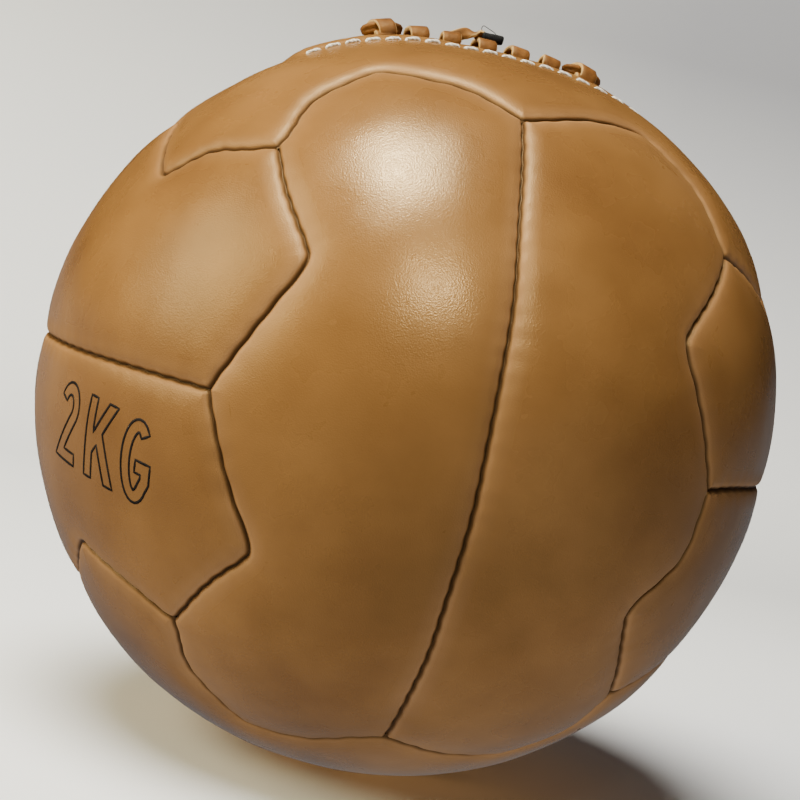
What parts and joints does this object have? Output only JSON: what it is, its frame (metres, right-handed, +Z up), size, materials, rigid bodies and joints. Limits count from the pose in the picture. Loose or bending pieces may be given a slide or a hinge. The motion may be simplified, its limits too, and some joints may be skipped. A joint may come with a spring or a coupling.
{
  "type": "medicine ball",
  "caption": "Round laced leather exercise ball: pillowed tan panels sewn in crossing pairs over a stuffed cotton bag, flat where it rests.",
  "frame": {"origin": "centre of the small flat patch that the ball rests on, at the bottom of its box", "axes": "+Z up through the middle of the lacing, +X along the lacing slit, -Y towards the side with the vertical seam that is seen first"},
  "size_m": [0.22, 0.22, 0.2225],
  "materials": {
    "cover_leather": "polished tan cowhide, semi-gloss, fine grain",
    "facing_leather": "undyed split leather, matte",
    "lace_leather": "rawhide thong, satin, pale cut edges",
    "black_tip": "black waxed, satin",
    "white_thread": "waxed linen cord, off-white",
    "seam_thread": "waxed linen thread, natural",
    "canvas": "unbleached cotton canvas, matte",
    "ticking": "plain cotton ticking, matte",
    "fibre": "packed cotton and kapok fibre, matte"
  },
  "bodies": {
    "root": {"bag_neck": "ticking", "inner_bag": "ticking", "lace": "lace_leather", "lace_tip": "black_tip", "lining_back_left": "canvas", "lining_back_right": "canvas", "lining_bottom_back": "canvas", "lining_bottom_front": "canvas", "lining_front_left": "canvas", "lining_front_right": "canvas", "lining_left_lower": "canvas", "lining_left_upper": "canvas", "lining_right_lower": "canvas", "lining_right_upper": "canvas", "lining_top_back": "canvas", "lining_top_front": "canvas", "neck_tie": "seam_thread", "panel_back_left": "cover_leather", "panel_back_right": "cover_leather", "panel_bottom_back": "cover_leather", "panel_bottom_front": "cover_leather", "panel_front_left": "cover_leather", "panel_front_right": "cover_leather", "panel_left_lower": "cover_leather", "panel_left_upper": "cover_leather", "panel_right_lower": "cover_leather", "panel_right_upper": "cover_leather", "panel_top_back": "cover_leather", "panel_top_front": "cover_leather", "slit_facing_back": "facing_leather", "slit_facing_front": "facing_leather", "slit_stitching_back": "white_thread", "slit_stitching_front": "white_thread", "stuffing": "fibre", "thread_back_seam": "seam_thread", "thread_bottom_seam": "seam_thread", "thread_front_seam": "seam_thread", "thread_left_seam": "seam_thread", "thread_lower_back_left_corner": "seam_thread", "thread_lower_back_right_corner": "seam_thread", "thread_lower_front_left_corner": "seam_thread", "thread_lower_front_right_corner": "seam_thread", "thread_right_seam": "seam_thread", "thread_top_seam": "seam_thread", "thread_upper_back_left_corner": "seam_thread", "thread_upper_back_right_corner": "seam_thread", "thread_upper_front_left_corner": "seam_thread", "thread_upper_front_right_corner": "seam_thread", "tongue": "facing_leather"}
  },
  "joints": []
}
